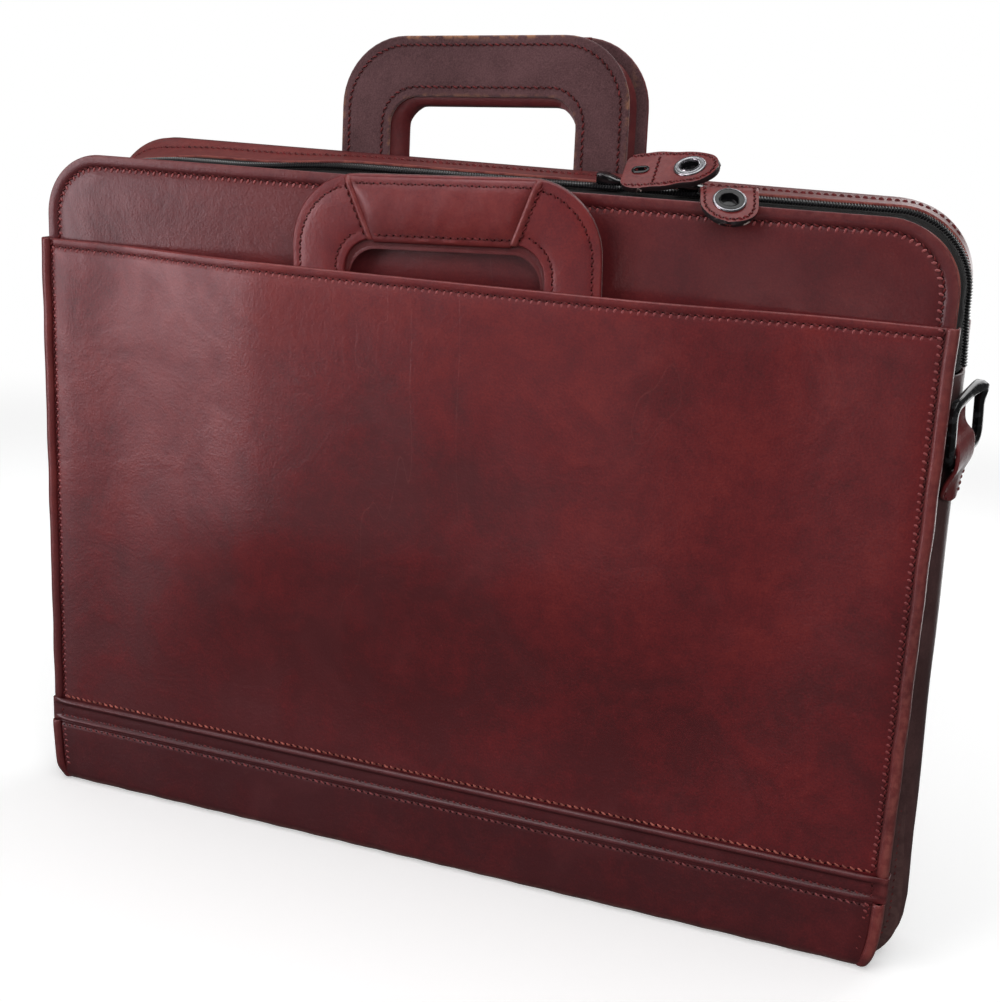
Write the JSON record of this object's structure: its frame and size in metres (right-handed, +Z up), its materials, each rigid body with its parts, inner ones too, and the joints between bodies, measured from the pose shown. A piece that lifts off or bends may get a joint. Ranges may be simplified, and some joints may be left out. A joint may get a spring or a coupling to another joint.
{
  "type": "leather document case",
  "caption": "Slim zip-top leather document case with an outer pocket and a drop handle on each side, a gusset, leather zipper pulls and a carrying ring at each end.",
  "frame": {"origin": "on the ground, under the middle of the whole outline", "axes": "+X to the right along the case, +Y away from the front pocket towards the back, +Z up"},
  "size_m": [0.4212, 0.0869, 0.3642],
  "materials": {
    "burgundy_leather": "waxed pull-up leather",
    "edge_leather": "waxed pull-up leather, worn lighter at the edges",
    "gusset_leather": "smooth brown-grey leather",
    "brushed_lining": "brushed flesh side",
    "zipper_tape": "woven tape",
    "black_enamel": "gloss black",
    "dark_snap": "dark nickel"
  },
  "bodies": {
    "root": {"front_panel": "burgundy_leather", "front_pocket": "burgundy_leather", "front_band": "burgundy_leather", "front_base": "burgundy_leather", "front_binding_left": "edge_leather", "front_binding_right": "edge_leather", "front_base_binding_left": "edge_leather", "front_base_binding_right": "edge_leather", "back_panel": "burgundy_leather", "back_pocket": "burgundy_leather", "back_band": "burgundy_leather", "back_base": "burgundy_leather", "back_binding_left": "edge_leather", "back_binding_right": "edge_leather", "back_base_binding_left": "edge_leather", "back_base_binding_right": "edge_leather", "gusset": "gusset_leather", "zip_strip_front": "edge_leather", "zip_strip_back": "edge_leather", "zipper_tape": "zipper_tape", "zipper_chain": "black_enamel", "zip_slider_left": "black_enamel", "zip_slider_right": "black_enamel", "pull_left_tab": "burgundy_leather", "pull_left_snap": "dark_snap", "pull_right_tab": "burgundy_leather", "pull_right_snap": "dark_snap", "right_ring_strap": "burgundy_leather", "left_ring_strap": "burgundy_leather"},
    "front_handle": {"front_handle_lining": "brushed_lining", "front_handle_face": "burgundy_leather", "front_handle_grip": "burgundy_leather"},
    "back_handle": {"back_handle_lining": "brushed_lining", "back_handle_face": "burgundy_leather", "back_handle_grip": "burgundy_leather"},
    "right_ring": {"right_ring": "black_enamel"},
    "left_ring": {"left_ring": "black_enamel"}
  },
  "joints": [
    {"name": "front_handle_slide", "type": "slide", "parent": "root", "child": "front_handle", "axis": [0, -0.0262, 0.9997], "range_m": [0, 0.058]},
    {"name": "back_handle_slide", "type": "slide", "parent": "root", "child": "back_handle", "axis": [0, 0.0785, 0.9969], "range_m": [-0.058, 0]},
    {"name": "right_ring_hinge", "type": "hinge", "parent": "root", "child": "right_ring", "pos_m": [0.2054, -0.0055, 0.215], "axis": [0.2462, 0.9519, 0.1822], "range_deg": [0, 150]},
    {"name": "left_ring_hinge", "type": "hinge", "parent": "root", "child": "left_ring", "pos_m": [-0.2054, -0.0055, 0.215], "axis": [-0.2462, 0.9519, 0.1822], "range_deg": [-150, 0]}
  ]
}
